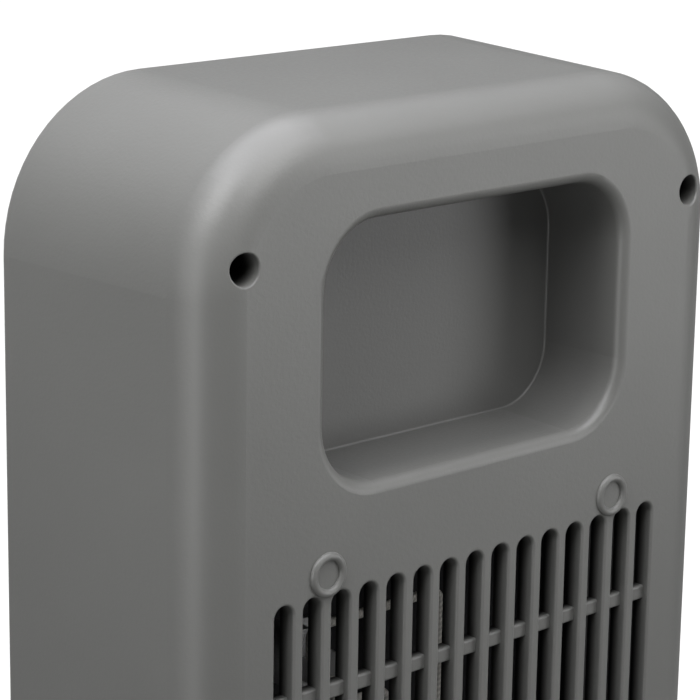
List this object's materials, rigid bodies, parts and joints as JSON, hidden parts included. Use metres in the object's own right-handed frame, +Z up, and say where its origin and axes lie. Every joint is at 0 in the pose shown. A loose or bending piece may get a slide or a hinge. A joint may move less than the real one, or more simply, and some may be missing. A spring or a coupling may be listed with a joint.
{
  "type": "carbon heater",
  "caption": "Slim upright carbon heater with a rounded moulded rear shell, hand-hold recess, slotted rear grille, wire front guard, quartz tubes, rotary control and weighted foot.",
  "frame": {"origin": "on the floor under the middle of the foot", "axes": "+Z up, +Y towards the rear face with the grille, -Y towards the heated front, +X to the left of someone who looks at the rear face"},
  "size_m": [0.23, 0.18, 0.4799],
  "materials": {
    "shell_plastic": "fine moulded texture",
    "front_plastic": "fine moulded texture",
    "guard_chrome": "plated wire",
    "reflector_sheet": "polished",
    "shield_steel": "galvanised",
    "bracket_steel": "zinc plated",
    "quartz": "clear",
    "carbon": "carbon fibre",
    "ceramic": "unglazed",
    "lead_sleeve": "glass sleeve",
    "cutout_metal": "satin",
    "switch_plastic": "moulded",
    "brass_nut": "machined",
    "lens_red": "clear tinted",
    "base_plastic": "fine moulded texture",
    "plate_steel": "powder coat",
    "foot_rubber": "matte",
    "block_plastic": "moulded",
    "gland_rubber": "matte",
    "screw_steel": "zinc plated",
    "knob_plastic": "satin",
    "shaft_metal": "turned",
    "plunger_plastic": "moulded"
  },
  "bodies": {
    "heater": {"rear_shell": "shell_plastic", "front_frame": "front_plastic", "front_guard": "guard_chrome", "reflector": "reflector_sheet", "heat_shield": "shield_steel", "upper_bracket": "bracket_steel", "lower_bracket": "bracket_steel", "quartz_tube_left": "quartz", "quartz_tube_right": "quartz", "carbon_filament_left": "carbon", "carbon_filament_right": "carbon", "ceramic_caps": "ceramic", "tube_leads": "lead_sleeve", "thermal_cutout": "cutout_metal", "cutout_leads": "lead_sleeve", "rotary_switch": "switch_plastic", "switch_nut": "brass_nut", "pilot_lens": "lens_red", "base_cover": "base_plastic", "base_plate": "plate_steel", "rubber_feet": "foot_rubber", "tip_switch": "switch_plastic", "terminal_block": "block_plastic", "supply_leads": "lead_sleeve", "cord_gland": "gland_rubber", "rear_screws": "screw_steel", "shield_screws": "screw_steel", "body_bolts": "screw_steel", "base_screws": "screw_steel"},
    "knob": {"control_knob": "knob_plastic", "switch_shaft": "shaft_metal"},
    "plunger": {"tip_plunger": "plunger_plastic"}
  },
  "joints": [
    {"name": "knob_turn", "type": "hinge", "parent": "heater", "child": "knob", "pos_m": [0, -0.0365, 0.088], "axis": [0, 1, 0], "range_deg": [0, 120]},
    {"name": "plunger_slide", "type": "slide", "parent": "heater", "child": "plunger", "axis": [0, 0, 1], "range_m": [-0.005, 0], "stiffness_N_per_m": 80, "springref_m": -0.008}
  ]
}
